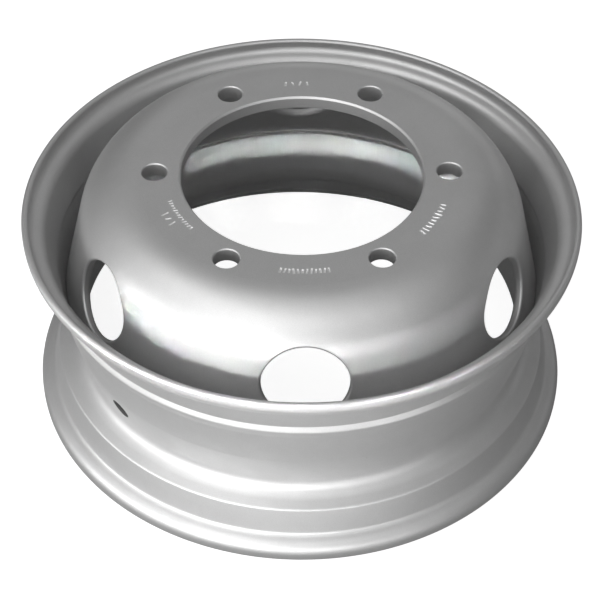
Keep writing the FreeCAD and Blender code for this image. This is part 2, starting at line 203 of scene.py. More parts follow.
class Recipe:
    """A Geometry Nodes tree with named sizes, run once to make a plain mesh."""

    def __init__(self, name: str) -> None:
        """Starts an empty tree.

        Args:
            name: Name of the tree.
        """
        self.tree = bpy.data.node_groups.new(name, "GeometryNodeTree")
        self.labels: dict = {}
        self.wires = Wiring(self.tree)
        self.tree.interface.new_socket("Shape", in_out="INPUT", socket_type="NodeSocketGeometry")
        self.tree.interface.new_socket("Shape", in_out="OUTPUT", socket_type="NodeSocketGeometry")
        self.entry = self.wires.add("NodeGroupInput")

    def size(self, label: str, kind: str = "NodeSocketFloat") -> Socket:
        """Adds a named input.

        Args:
            label: The input's name.
            kind: The input's socket type.

        Returns:
            The socket that gives the input's value inside the tree.
        """
        item = self.tree.interface.new_socket(label, in_out="INPUT", socket_type=kind)
        self.labels[label] = item.identifier
        return self.entry.outputs[label]

    def close(self, shape: Socket, chosen: object = True) -> None:
        """Ends the tree with real faces that carry the finish.

        Args:
            shape: The geometry that leaves the tree.
            chosen: Field that is true where the finish goes.
        """
        finish = self.size("Finish", "NodeSocketMaterial")
        real = self.wires.put("GeometryNodeRealizeInstances", {"Geometry": shape})
        coated = self.wires.put("GeometryNodeSetMaterial", {
            "Geometry": real, "Selection": chosen, "Material": finish})
        self.wires.feed(self.wires.add("NodeGroupOutput").inputs["Shape"], coated)

    def run(self, name: str, start: bpy.types.Mesh, sizes: dict, finish: Finish) -> Piece:
        """Runs the tree on a starting mesh and keeps the result as a plain mesh.

        Args:
            name: Name of the piece.
            start: Mesh that the tree is given.
            sizes: Values by the inputs' names.
            finish: Material of the piece.

        Returns:
            The piece, with no modifier left on it.
        """
        piece = added(name, start)
        maker = piece.modifiers.new(self.tree.name, "NODES")
        maker.node_group = self.tree
        for label, value in {"Finish": finish, **sizes}.items():
            maker[self.labels[label]] = value
        settle(piece)
        return piece


class TurningRecipe(Recipe):
    """A tree that wraps the outline it is given once round the upright axis."""

    def __init__(self, name: str) -> None:
        """Lays the grid and finds each point's step round the axis and place on the outline.

        Args:
            name: Name of the tree.
        """
        super().__init__(name)
        wires = self.wires
        self.facets = self.size("Facets", "NodeSocketInt")
        corners = self.size("Outline Points", "NodeSocketInt")
        across = wires.whole("ADD", self.facets, 1)
        self.grid = wires.put("GeometryNodeMeshGrid", {
            "Vertices X": wires.whole("ADD", corners, 1), "Vertices Y": across}, "Mesh")
        index = wires.add("GeometryNodeInputIndex").outputs[0]
        self.step = wires.whole("MODULO", index, across)
        corner = wires.whole("MODULO", wires.whole("DIVIDE_FLOOR", index, across), corners)
        place = wires.put("GeometryNodeSampleIndex", {
            "Geometry": self.entry.outputs["Shape"], "Index": corner,
            "Value": wires.add("GeometryNodeInputPosition").outputs[0]},
            data_type="FLOAT_VECTOR", domain="POINT")
        spot = wires.add("ShaderNodeSeparateXYZ")
        wires.feed(spot.inputs[0], place)
        self.radius, self.share, self.height = spot.outputs

    def wrap(self, radius: Socket, turn: Socket, height: Socket) -> Socket:
        """Puts the grid's points round the axis and closes the shell.

        Args:
            radius: Each point's distance from the axis.
            turn: Each point's angle round the axis.
            height: Each point's height.

        Returns:
            The closed shell.
        """
        wires = self.wires
        moved = wires.put("GeometryNodeSetPosition", {
            "Geometry": self.grid, "Position": wires.polar(radius, turn, height)})
        return wires.put("GeometryNodeMergeByDistance", {"Geometry": moved, "Distance": SAME_SPOT})


def cleared(owner: bpy.types.ID) -> Wiring:
    """Empties the node tree of a material or a world and gives its wiring."""
    owner.use_nodes = True
    owner.node_tree.nodes.clear()
    return Wiring(owner.node_tree)


def added(name: str, data: bpy.types.ID) -> Piece:
    """Adds an object with the given mesh, camera or lamp to the scene."""
    piece = bpy.data.objects.new(name, data)
    bpy.context.scene.collection.objects.link(piece)
    return piece


def settle(piece: Piece) -> None:
    """Turns a piece's modifiers into its own plain mesh.

    Args:
        piece: The piece, which keeps its name and place.
    """
    graph = bpy.context.evaluated_depsgraph_get()
    made = bpy.data.meshes.new_from_object(
        piece.evaluated_get(graph), preserve_all_data_layers=True, depsgraph=graph)
    piece.modifiers.clear()
    piece.data = made
    made.name = piece.name


def outline_mesh(name: str, points: list) -> bpy.types.Mesh:
    """Gives a mesh that holds only the points of an outline, in order.

    Args:
        name: Name of the mesh.
        points: Places of the points.

    Returns:
        The mesh.
    """
    mesh = bpy.data.meshes.new(name)
    mesh.from_pydata(points, [], [])
    return mesh


def face_outwards(mesh: bpy.types.Mesh) -> None:
    """Turns a closed mesh the right way out, if it is inside out.

    Args:
        mesh: The closed mesh.
    """
    shape = bmesh.new()
    shape.from_mesh(mesh)
    if shape.calc_volume(signed=True) < 0:
        bmesh.ops.reverse_faces(shape, faces=shape.faces)
        shape.to_mesh(mesh)
        log.info("%s was turned the right way out", mesh.name)
    shape.free()


def stand_in(piece: Piece, node: CadNode) -> None:
    """Lets a finished piece ride on the wheel in place of its solid.

    Args:
        piece: The finished piece.
        node: The solid that it stands for.
    """
    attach(piece, BODY)
    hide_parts(node.value)
    log.info("%s stands for %s with %d faces", piece.name, node.value, len(piece.data.polygons))


def grey(level: float) -> tuple:
    """Gives an opaque grey of one level."""
    return (level, level, level, 1.0)


@dataclass(frozen=True)
class Corner:
    """One corner of a turned section: radius, height and the round that eases it."""

    radius: float
    height: float
    rounding: float

    def spot(self) -> Vector:
        """Gives the corner's place in the section's plane."""
        return Vector((self.radius, self.height))


@dataclass(frozen=True)
class Section:
    """A closed section whose corners are eased by arcs."""

    corners: tuple
    arc_step_degrees: float = 9.0
    crease_round: float = 0.4
    guard: float = 0.6
    long_run: float = 6.0

    def arc(self, number: int) -> list:
        """Gives the points of the arc that eases one corner.

        Args:
            number: The corner's place in the section.

        Returns:
            The points, from the run before the corner to the run after it.
        """
        here = self.corners[number].spot()
        back = (self.corners[number - 1].spot() - here).normalized()
        ahead = (self.corners[(number + 1) % len(self.corners)].spot() - here).normalized()
        turn = math.pi - back.angle(ahead)
        rounding = self.corners[number].rounding or self.crease_round
        cut = rounding * math.tan(turn / 2)
        centre = here + (back + ahead).normalized() * (rounding / math.cos(turn / 2))
        first, last = here + back * cut - centre, here + ahead * cut - centre
        steps = max(1, math.ceil(math.degrees(turn) / self.arc_step_degrees))
        points = []
        for step in range(steps + 1):
            share = step / steps
            swing = first * math.sin((1 - share) * turn) + last * math.sin(share * turn)
            points.append(centre + swing / math.sin(turn))
        return points

    def points(self) -> list:
        """Gives the whole outline, with a guard point near each end of a long run.

        Returns:
            Points in metres, in the XZ plane.
        """
        arcs = [self.arc(number) for number in range(len(self.corners))]
        outline = []
        for number, arc in enumerate(arcs):
            outline += arc
            following = arcs[(number + 1) % len(arcs)][0]
            run = following - arc[-1]
            if run.length > self.long_run:
                step = run.normalized() * self.guard
                outline += [arc[-1] + step, following - step]
        return [(spot.x * MM, 0.0, spot.y * MM) for spot in outline]


@dataclass
class TurnedRim:
    """The rolled drop-centre rim, turned from its section and drilled for the valve."""

    bead_radius: float = 222.25
    inside_width: float = 152.4
    flange_height: float = 12.7
    flange_width: float = 17.8
    flange_lean: float = 16.0
    gauge: float = 5.5
    curl_radius: float = 11.8
    heel_radius: float = 5.0
    tip_round: float = 2.7
    seat_angle: float = 15.0
    seat_width: float = 28.6
    short_seat_width: float = 24.2
    ridge_rise_run: float = 5.0
    ridge_rise_angle: float = 21.0
    ridge_fall_run: float = 8.0
    ridge_fall_angle: float = 18.5
    ridge_round: float = 5.0
    wall_run: float = 40.0
    wall_angle: float = 12.4
    well_angle: float = 15.5
    flank_lean: float = 18.0
    well_round: float = 15.0
    shoulder_round: float = 2.5
    valve_radius: float = 7.85
    valve_bevel: float = 1.8
    valve_drop: float = 17.5
    valve_bearing: float = 220.4
    facets: int = 432
    punch_sides: int = 64
    mouth_depth: float = 3.0
    bore_length: float = 4.0
    sharp_angle: float = 25.0

    def tyre_side(self) -> list:
        """Gives the tyre side's corners, from the outboard edge down to the inboard edge.

        Returns:
            Rows of radius, height, slope above, slope below, round outside and round inside.
        """
        def run(angle: float) -> float:
            """Gives the tangent of an angle in degrees."""
            return math.tan(math.radians(angle))

        gauge, heel = self.gauge, self.heel_radius
        edge = self.bead_radius + self.flange_height
        flange = 90.0 - self.flange_lean
        outer, inner = self.inside_width + self.flange_width, self.flange_width
        lean_run = self.flange_height * run(self.flange_lean)
        seat_end = (self.bead_radius - self.seat_width * run(self.seat_angle),
                    outer - self.seat_width)
        ridge = (seat_end[0] + self.ridge_rise_run * run(self.ridge_rise_angle),
                 seat_end[1] - self.ridge_rise_run)
        wall_top = (ridge[0] - self.ridge_fall_run * run(self.ridge_fall_angle),
                    ridge[1] - self.ridge_fall_run)
        wall_end = (wall_top[0] - self.wall_run * run(self.wall_angle), wall_top[1] - self.wall_run)
        shoulder = (self.bead_radius - self.short_seat_width * run(self.seat_angle),
                    inner + self.short_seat_width)
        slope, rise = run(self.well_angle), run(self.flank_lean)
        drop = wall_end[1] - shoulder[1] - rise * shoulder[0]
        well_radius = (wall_end[0] - slope * drop) / (slope * rise + 1)
        well = (well_radius, shoulder[1] + rise * (shoulder[0] - well_radius))
        return [
            (edge, outer + lean_run, 0.0, flange, self.curl_radius, self.curl_radius - gauge),
            (self.bead_radius, outer, flange, self.seat_angle, heel, heel + gauge),
            (*seat_end, self.seat_angle, -self.ridge_rise_angle, 0.0, gauge),
            (*ridge, -self.ridge_rise_angle, self.ridge_fall_angle, self.ridge_round, 0.0),
            (*wall_top, self.ridge_fall_angle, self.wall_angle, 0.0, 0.0),
            (*wall_end, self.wall_angle, self.well_angle, 0.0, 0.0),
            (*well, self.well_angle, self.flank_lean - 90.0, self.well_round,
             self.well_round + gauge),
            (*shoulder, self.flank_lean - 90.0, -self.seat_angle, self.shoulder_round, 0.0),
            (self.bead_radius, inner, -self.seat_angle, -flange, heel, heel + gauge),
            (edge, inner - lean_run, -flange, 0.0, self.curl_radius, self.curl_radius - gauge),
        ]

    def section(self) -> Section:
        """Gives the rim's section: tyre side down, then the inside back up.

        Returns:
            The closed section.
        """
        edge = self.bead_radius + self.flange_height
        top = self.inside_width + 2 * self.flange_width
        outside = [Corner(edge, top, self.tip_round)]
        inside = [Corner(edge - self.gauge, top, self.tip_round)]
        for radius, height, above, below, outer_round, inner_round in self.tyre_side():
            mean, half = math.radians(above + below) / 2, math.radians(above - below) / 2
            reach = self.gauge / math.cos(half)
            outside.append(Corner(radius, height, outer_round))
            inside.append(Corner(radius - reach * math.cos(mean),
                                 height + reach * math.sin(mean), inner_round))
        outside.append(Corner(edge, 0.0, self.tip_round))
        inside.append(Corner(edge - self.gauge, 0.0, self.tip_round))
        return Section(tuple(outside + inside[::-1]))

    def valve_place(self) -> tuple:
        """Gives the valve hole's place on the tyre side and its way out.

        Returns:
            The place in metres, and the direction out of the wall.
        """
        wall_end = self.tyre_side()[5]
        tilt = math.radians(self.well_angle)
        radius = wall_end[0] - self.valve_drop * math.tan(tilt)
        bearing = math.radians(self.valve_bearing)
        around = Vector((math.cos(bearing), math.sin(bearing), 0.0))
        place = around * radius + Vector((0.0, 0.0, wall_end[1] - self.valve_drop))
        return place * MM, around * math.cos(tilt) - Vector((0.0, 0.0, math.sin(tilt)))

    def recipe(self) -> Recipe:
        """Builds the tree that turns the section and drills the valve hole.

        Returns:
            The tree.
        """
        tree = TurningRecipe("rim_turning")
        wires = tree.wires
        turn = wires.math("DIVIDE", wires.math("MULTIPLY", tree.step, 2 * math.pi), tree.facets)
        shell = tree.wrap(tree.radius, turn, tree.height)
        hole, bevel = tree.size("Valve Radius"), tree.size("Valve Bevel")
        place = tree.size("Valve Place", "NodeSocketVector")
        way = tree.size("Valve Way", "NodeSocketVector")
        hole_shade_paint = tree.size("Hole Shade Paint", "NodeSocketMaterial")
        aim = wires.put("FunctionNodeAlignRotationToVector", {"Vector": way}, axis="Z")
        wide = wires.math("MULTIPLY", bevel, self.mouth_depth)
        cone = wires.put("GeometryNodeMeshCone", {
            "Vertices": self.punch_sides, "Radius Top": wires.math("ADD", hole, wide),
            "Radius Bottom": hole, "Depth": wide}, "Mesh")
        sunk = wires.put("ShaderNodeCombineXYZ", {2: wires.math("MULTIPLY", bevel, -1.0)})
        mouth = wires.put("GeometryNodeTransform", {"Geometry": cone, "Translation": sunk})
        bore = wires.put("GeometryNodeMeshCylinder", {
            "Vertices": self.punch_sides, "Radius": hole,
            "Depth": wires.math("MULTIPLY", hole, self.bore_length)}, "Mesh")
        # The punches carry the near-black paint into the hole's walls and bevel: painted shade.
        cuts = []
        for punch in (mouth, bore):
            placed = wires.put("GeometryNodeTransform", {
                "Geometry": punch, "Translation": place, "Rotation": aim})
            cuts.append(wires.put("GeometryNodeSetMaterial", {
                "Geometry": placed, "Material": hole_shade_paint}))
        drilled = wires.add("GeometryNodeMeshBoolean", operation="DIFFERENCE", solver="MANIFOLD")
        wires.feed(drilled.inputs["Mesh 1"], shell)
        for cut in reversed(cuts):
            wires.feed(drilled.inputs["Mesh 2"], cut)
        inside = wires.put("GeometryNodeMaterialSelection", {"Material": hole_shade_paint})
        outside = wires.put("FunctionNodeBooleanMath", {0: inside}, operation="NOT")
        tree.close(drilled.outputs[0], outside)
        return tree

    def build(self, finish: Finish, painted_hole_shade: Finish) -> Piece:
        """Turns the rim and dresses it.

        Args:
            finish: The paint.
            painted_hole_shade: The near-black paint on the valve hole's walls, painted shade.

        Returns:
            The rim.
        """
        outline = self.section().points()
        place, way = self.valve_place()
        rim = self.recipe().run("rim_shell", outline_mesh("rim_outline", outline), {
            "Facets": self.facets, "Outline Points": len(outline),
            "Valve Radius": self.valve_radius * MM, "Valve Bevel": self.valve_bevel * MM,
            "Valve Place": tuple(place), "Valve Way": tuple(way), "Hole Shade Paint": painted_hole_shade,
        }, finish)
        face_outwards(rim.data)
        rim.data.shade_smooth()
        rim.data.set_sharp_from_angle(angle=math.radians(self.sharp_angle))
        stand_in(rim, CadNode.RIM)
        return rim


@dataclass(frozen=True)
class MarkRow:
    """A row of plain strokes pressed into the disc's flat, along an arc round the axis."""

    start_degrees: float
    sweep_degrees: float
    radius: float
    count: int
    length: float
    width: float
    seed: int


class SmoothShading:
    """A CAD solid's smooth shading, read at any spot on it."""

    def __init__(self, mesh: bpy.types.Mesh, least_agreement: float = 0.5) -> None:
        """Keeps the solid's triangles and their shading normals.

        Args:
            mesh: The solid's mesh.
            least_agreement: Cosine below which a normal is not taken for a face.
        """
        mesh.calc_loop_triangles()
        self.least_agreement = least_agreement
        self.spots = [vertex.co.copy() for vertex in mesh.vertices]
        self.triangles = [tuple(triangle.vertices) for triangle in mesh.loop_triangles]
        self.slopes = [[mesh.corner_normals[loop].vector.copy() for loop in triangle.loops]
                       for triangle in mesh.loop_triangles]
        self.tree = BVHTree.FromPolygons(self.spots, self.triangles)

    def distance(self, spot: Vector) -> float:
        """Gives the distance from a spot to the solid."""
        return self.tree.find_nearest(spot)[3]

    def slope_at(self, spot: Vector, facing: Vector) -> Vector:
        """Reads the smooth shading at one spot.

        Args:
            spot: The place on or near the solid.
            facing: Normal of the face that the spot belongs to.

        Returns:
            The smooth normal there, or the face's own where the two disagree.
        """
        nearest, _, number, _ = self.tree.find_nearest(spot)
        corners = [self.spots[vertex] for vertex in self.triangles[number]]
        sides = (corners[1] - corners[0], corners[2] - corners[0], nearest - corners[0])
        area = sides[0].cross(sides[1])
        scale = area.length_squared or 1.0
        second = sides[2].cross(sides[1]).dot(area) / scale
        third = sides[0].cross(sides[2]).dot(area) / scale
        slopes = self.slopes[number]
        normal = slopes[0] * (1.0 - second - third) + slopes[1] * second + slopes[2] * third
        if (normal.length < self.least_agreement
                or normal.normalized().dot(facing) < self.least_agreement):
            return facing.copy()
        return normal.normalized()


@dataclass
class StampedDisc:
    """The dished disc, with rows of plain strokes pressed into its flat."""

    stroke_depth: float = 0.6
    stroke_lift: float = 0.15
    # Half a stroke's diagonals, at its mouth and its foot, for a stroke of length and width 1.
    stroke_top: float = 0.7071
    stroke_foot: float = 0.28
    stroke_skew: float = 0.35
    length_shares: tuple = (0.6, 1.0)
    width_shares: tuple = (0.8, 1.1)
    off_surface: float = 0.02
    corner_inset: float = 0.02
    # Each row: start and sweep in degrees, radius, count, length, width and seed.
    rows: tuple = (
        MarkRow(87.0, 9.0, 121.0, 4, 7.5, 2.2, 3),
        MarkRow(199.0, 19.0, 114.3, 13, 5.0, 1.8, 5),
        MarkRow(205.5, 6.0, 123.5, 3, 9.0, 1.8, 11),
        MarkRow(261.0, 18.0, 121.5, 12, 8.4, 2.2, 17),
        MarkRow(321.0, 18.0, 122.0, 10, 8.4, 2.4, 23),
    )

    def recipe(self) -> Recipe:
        """Builds the tree that lays one row of punches.

        Returns:
            The tree.
        """
        tree = Recipe("stroke_row")
        wires = tree.wires
        count, seed = tree.size("Count", "NodeSocketInt"), tree.size("Seed", "NodeSocketInt")
        start, sweep = tree.size("Start"), tree.size("Sweep")
        radius, face = tree.size("Radius"), tree.size("Face Height")
        length, width = tree.size("Length"), tree.size("Width")
        depth, lift = tree.size("Depth"), tree.size("Lift")

        def chance(low: float, high: float, offset: int) -> Socket:
            """Gives each stroke a random number between two values."""
            # Inputs 2, 3 and 8 are the node's low, high and seed, and output 1 its plain number.
            values = {2: low, 3: high, 8: wires.whole("ADD", seed, offset)}
            return wires.put("FunctionNodeRandomValue", values, 1, data_type="FLOAT")

        index = wires.add("GeometryNodeInputIndex").outputs[0]
        share = wires.math("DIVIDE", index, wires.math("SUBTRACT", count, 1.0))
        angle = wires.math("ADD", start, wires.math("MULTIPLY", share, sweep))
        line = wires.put("GeometryNodeMeshLine", {"Count": count})
        points = wires.put("GeometryNodeSetPosition", {
            "Geometry": line, "Position": wires.polar(radius, angle, face)})
        tall = wires.math("ADD", depth, lift)
        wedge = wires.put("GeometryNodeMeshCone", {
            "Vertices": 4, "Radius Top": self.stroke_top, "Radius Bottom": self.stroke_foot,
            "Depth": 1.0}, "Mesh")
        square = wires.put("GeometryNodeTransform", {
            "Geometry": wedge, "Rotation": (0.0, 0.0, math.pi / 4)})
        sunk = wires.math("DIVIDE", wires.math("MULTIPLY", depth, -1.0), tall)
        lowered = wires.put("GeometryNodeTransform", {
            "Geometry": square, "Translation": wires.put("ShaderNodeCombineXYZ", {2: sunk})})
        turn = wires.math("ADD", angle, chance(-self.stroke_skew, self.stroke_skew, 1))
        size = wires.put("ShaderNodeCombineXYZ", {
            0: wires.math("MULTIPLY", length, chance(*self.length_shares, 2)),
            1: wires.math("MULTIPLY", width, chance(*self.width_shares, 3)), 2: tall})
        row = wires.put("GeometryNodeInstanceOnPoints", {
            "Points": points, "Instance": lowered, "Scale": size,
            "Rotation": wires.put("ShaderNodeCombineXYZ", {2: turn})})
        tree.close(row)
        return tree

    def punches(self, finish: Finish) -> Piece:
        """Lays all rows of punches and joins them into one object.

        Args:
            finish: The strokes' lighter paint, a painted highlight.

        Returns:
            The joined punches.
        """
        tree = self.recipe()
        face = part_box(CadNode.DISC.value)[1].z
        gathered = bmesh.new()
        for number, row in enumerate(self.rows):
            cut = tree.run(f"strokes_{number}", outline_mesh("stroke_start", []), {
                "Count": row.count, "Seed": row.seed, "Start": math.radians(row.start_degrees),
                "Sweep": math.radians(row.sweep_degrees), "Radius": row.radius * MM,
                "Face Height": face, "Length": row.length * MM, "Width": row.width * MM,
                "Depth": self.stroke_depth * MM, "Lift": self.stroke_lift * MM}, finish)
            gathered.from_mesh(cut.data)
            bpy.data.objects.remove(cut)
        mesh = bpy.data.meshes.new("strokes")
        gathered.to_mesh(mesh)
        gathered.free()
        mesh.materials.append(finish)
        face_outwards(mesh)
        return added("strokes", mesh)

    def shade(self, disc: Piece, solid: Piece) -> None:
        """Gives the disc the solid's smooth shading, and the strokes' walls their own.

        Args:
            disc: The disc with its strokes.
            solid: The CAD solid of the disc.
        """
        shading = SmoothShading(solid.data)
        mesh = disc.data
        normals = [Vector((0.0, 0.0, 1.0))] * len(mesh.loops)
        for polygon in mesh.polygons:
            on_solid = shading.distance(polygon.center) <= self.off_surface * MM
            for loop in polygon.loop_indices:
                if not on_solid:
                    normals[loop] = polygon.normal.copy()
                    continue
                corner = mesh.vertices[mesh.loops[loop].vertex_index].co
                spot = corner.lerp(polygon.center, self.corner_inset)
                normals[loop] = shading.slope_at(spot, polygon.normal)
        mesh.normals_split_custom_set(normals)

    def build(self, finish: Finish, painted_stroke_highlight: Finish) -> Piece:
        """Presses the strokes into a copy of the solid and dresses it.

        Args:
            finish: The paint.
            painted_stroke_highlight: The lighter paint in the strokes, a painted highlight.

        Returns:
            The disc.
        """
        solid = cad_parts[CadNode.DISC.value]
        shape = bmesh.new()
        shape.from_mesh(solid.data)
        bmesh.ops.remove_doubles(shape, verts=shape.verts, dist=SAME_SPOT)
        mesh = bpy.data.meshes.new("pressed_disc")
        shape.to_mesh(mesh)
        shape.free()
        mesh.materials.clear()
        mesh.materials.append(finish)
        disc = added("pressed_disc", mesh)
        punches = self.punches(painted_stroke_highlight)
        press = disc.modifiers.new("strokes", "BOOLEAN")
        press.operation = "DIFFERENCE"
        press.solver = "EXACT"
        # The strokes' faces take the punches' lighter paint, a painted highlight.
        press.material_mode = "TRANSFER"
        press.object = punches
        settle(disc)
        bpy.data.objects.remove(punches)
        disc.data.shade_smooth()
        self.shade(disc, solid)
        stand_in(disc, CadNode.DISC)
        return disc


@dataclass
class WeldRun:
    """The rippled weld run inside the rim, under the disc's edge."""

    leg: float = 6.5
    bulge: float = 1.1
    face_steps: int = 8
    ripples: int = 560
    steps_per_ripple: int = 6
    ripple_depth: float = 0.32
    ripple_bow: float = 0.85
    ripple_drift: float = 1.2
    crest_shape: float = 0.6
    wander: float = 0.22
    wander_scale: float = 40.0
    seed: float = 7.0
    sharp_angle: float = 40.0

    def section(self) -> list:
        """Gives the run's section: radius and height, with the ripples' share in between.

        Returns:
            Points in metres; the middle number is 0 at the toes and 1 on the crown.
        """
        low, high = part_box(CadNode.WELD.value)
        outer, top = high.x / MM, high.z / MM
        bottom = low.z / MM
        foot = outer - (top - bottom) * math.tan(math.radians(TurnedRim.wall_angle))
        toes = Vector((outer - self.leg, top)), Vector((foot, bottom))
        chord = toes[1] - toes[0]
        out = Vector((chord.y, -chord.x)).normalized()
        if out.dot(Vector((outer, top)) - toes[0]) > 0:
            out = -out
        points = [(outer * MM, 0.0, top * MM)]
        for step in range(self.face_steps + 1):
            share = step / self.face_steps
            rise = math.sin(math.pi * share)
            spot = toes[0] + chord * share + out * self.bulge * rise
            points.append((spot.x * MM, rise, spot.y * MM))
        return points

    def recipe(self) -> Recipe:
        """Builds the tree that wraps the section round and ripples its face.

        Returns:
            The tree.
        """
        tree = TurningRecipe("weld_ripples")
        wires = tree.wires
        ripples, depth = tree.size("Ripples"), tree.size("Ripple Depth")
        bow, wander, seed = tree.size("Ripple Bow"), tree.size("Wander"), tree.size("Seed")
        lap = wires.math("DIVIDE", wires.whole("MODULO", tree.step, tree.facets), tree.facets)
        turn = wires.math("MULTIPLY", lap, 2 * math.pi)
        noise = wires.put("ShaderNodeTexNoise", {
            "Vector": wires.polar(1.0, turn, 0.0), "W": seed, "Scale": self.wander_scale},
            noise_dimensions="4D")
        uneven = wires.math("SUBTRACT", noise, 0.5)
        drift = wires.math("MULTIPLY", uneven, self.ripple_drift)
        count = wires.math("ADD", wires.math("MULTIPLY", lap, ripples), drift)
        bowed = wires.math("SUBTRACT", count, wires.math("MULTIPLY", tree.share, bow))
        swing = wires.math("MULTIPLY", wires.math("FRACT", bowed), math.pi)
        crest = wires.math("POWER", wires.math("ABSOLUTE", wires.math("SINE", swing)),
                           self.crest_shape)
        lift = wires.math("MULTIPLY", wires.math("SUBTRACT", crest, 1.0), depth)
        lift = wires.math("ADD", lift, wires.math("MULTIPLY", uneven, wander))
        # The run's face leans at 45 degrees, so a lift moves a point inwards as far as down.
        push = wires.math("MULTIPLY", wires.math("MULTIPLY", lift, tree.share), -math.sqrt(0.5))
        tree.close(tree.wrap(wires.math("ADD", tree.radius, push), turn,
                             wires.math("ADD", tree.height, push)))
        return tree

    def build(self, finish: Finish) -> Piece:
        """Lays the weld run and dresses it.

        Args:
            finish: The paint.

        Returns:
            The weld run.
        """
        section = self.section()
        weld = self.recipe().run("weld_run", outline_mesh("weld_outline", section), {
            "Facets": self.ripples * self.steps_per_ripple, "Outline Points": len(section),
            "Ripples": float(self.ripples), "Ripple Depth": self.ripple_depth * MM,
            "Ripple Bow": self.ripple_bow, "Wander": self.wander * MM, "Seed": self.seed}, finish)
        face_outwards(weld.data)
        weld.data.shade_smooth()
        weld.data.set_sharp_from_angle(angle=math.radians(self.sharp_angle))
        stand_in(weld, CadNode.WELD)
        return weld


@dataclass(frozen=True)
class SilverPaint:
    """Satin silver paint over steel of one texture."""

    texture: Texture
    light: tuple = grey(0.643)
    dark: tuple = grey(0.589)
    worn: tuple = grey(0.468)
    metallic: float = 0.85
    roughness: tuple = (0.46, 0.53)
    cloud_scale: float = 11.0
    cloud_range: tuple = (0.32, 0.68)
    gloss_range: tuple = (0.3, 0.7)
    speck_scale: float = 170.0
    worn_range: tuple = (0.72, 0.84)
    worn_share: float = 0.55
    rough_range: tuple = (0.6, 0.8)
    rough_share: float = 0.06
    peel_scale: float = 380.0
    peel_depth: float = 0.00004
    wave_scale: float = 26.0
    wave_depth: float = 0.0004
    flake_scale: float = 2400.0
    flake_range: tuple = (0.3, 0.7)
    flake_tones: tuple = (0.95, 1.05)
    line_scale: float = 900.0
    line_depth: float = 0.00001
    line_share: float = 0.25
    pits_a_speck: float = 3.0
    noise_roughness: float = 0.55
    coat: float = 0.2
    coat_roughness: float = 0.18

    def noise(self, wires: Wiring, place: Socket, scale: float, detail: float = 2.0) -> Socket:
        """Gives noise at one scale.

        Args:
            wires: Wiring of the paint's tree.
            place: Coordinates that the noise reads.
            scale: Number of cells in a metre.
            detail: Number of finer layers.

        Returns:
            The noise, from 0 to 1.
        """
        return wires.put("ShaderNodeTexNoise", {
            "Vector": place, "Scale": scale, "Detail": detail,
            "Roughness": self.noise_roughness}, "Fac")

    def grain(self, wires: Wiring, place: Socket) -> Socket:
        """Gives the fine lines of rolling round the wheel, with pits on all but the rolled steel.

        Args:
            wires: Wiring of the paint's tree.
            place: Object coordinates.

        Returns:
            The height of the grain, from 0 to 1.
        """
        parts = wires.add("ShaderNodeSeparateXYZ")
        wires.feed(parts.inputs[0], place)
        squares = [wires.math("MULTIPLY", part, part) for part in parts.outputs[:2]]
        radius = wires.math("SQRT", wires.math("ADD", *squares))
        round_lines = wires.put("ShaderNodeCombineXYZ", {0: radius, 1: parts.outputs[2]})
        fine = self.noise(wires, round_lines, self.line_scale, detail=1.0)
        if self.texture is Texture.ROLLED:
            return fine
        pitted = self.noise(wires, place, self.speck_scale * self.pits_a_speck, detail=3.0)
        return wires.math("ADD", wires.math("MULTIPLY", fine, self.line_share),
                          wires.math("MULTIPLY", pitted, 1.0 - self.line_share))

    def material(self) -> Finish:
        """Builds the paint's node tree.

        Returns:
            The finished material.
        """
        material = bpy.data.materials.new(f"{self.texture.value}_silver_paint")
        wires = cleared(material)
        place = wires.add("ShaderNodeTexCoord").outputs["Object"]
        cloud = self.noise(wires, place, self.cloud_scale, detail=4.0)
        specks = self.noise(wires, place, self.speck_scale, detail=3.0)
        flake = self.noise(wires, place, self.flake_scale, detail=1.0)
        tone = wires.blend(wires.spread(cloud, self.cloud_range), self.light, self.dark)
        worn = wires.math("MULTIPLY", wires.spread(specks, self.worn_range), self.worn_share)
        tone = wires.blend(worn, tone, self.worn)
        sparkle = wires.spread(flake, self.flake_range, self.flake_tones)
        colour = wires.add("ShaderNodeVectorMath", operation="SCALE")
        wires.feed(colour.inputs[0], tone)
        wires.feed(colour.inputs["Scale"], sparkle)
        rough = wires.spread(cloud, self.gloss_range, self.roughness)
        rough = wires.math("ADD", rough, wires.math(
            "MULTIPLY", wires.spread(specks, self.rough_range), self.rough_share))
        bump = None
        waves = self.noise(wires, place, self.wave_scale, detail=1.0)
        for height, depth in ((waves, self.wave_depth),
                              (self.noise(wires, place, self.peel_scale), self.peel_depth),
                              (self.grain(wires, place), self.line_depth)):
            relief = {"Strength": 1.0, "Distance": depth, "Height": height}
            if bump is not None:
                relief["Normal"] = bump
            bump = wires.put("ShaderNodeBump", relief, "Normal")
        shader = wires.add("ShaderNodeBsdfPrincipled")
        wires.feed(shader.inputs["Base Color"], colour.outputs[0])
        wires.feed(shader.inputs["Metallic"], self.metallic)
        wires.feed(shader.inputs["Roughness"], rough)
        wires.feed(shader.inputs["Normal"], bump)
        shader.inputs["Coat Weight"].default_value = self.coat
        shader.inputs["Coat Roughness"].default_value = self.coat_roughness
        end = wires.add("ShaderNodeOutputMaterial")
        wires.feed(end.inputs["Surface"], shader.outputs["BSDF"])
        return material


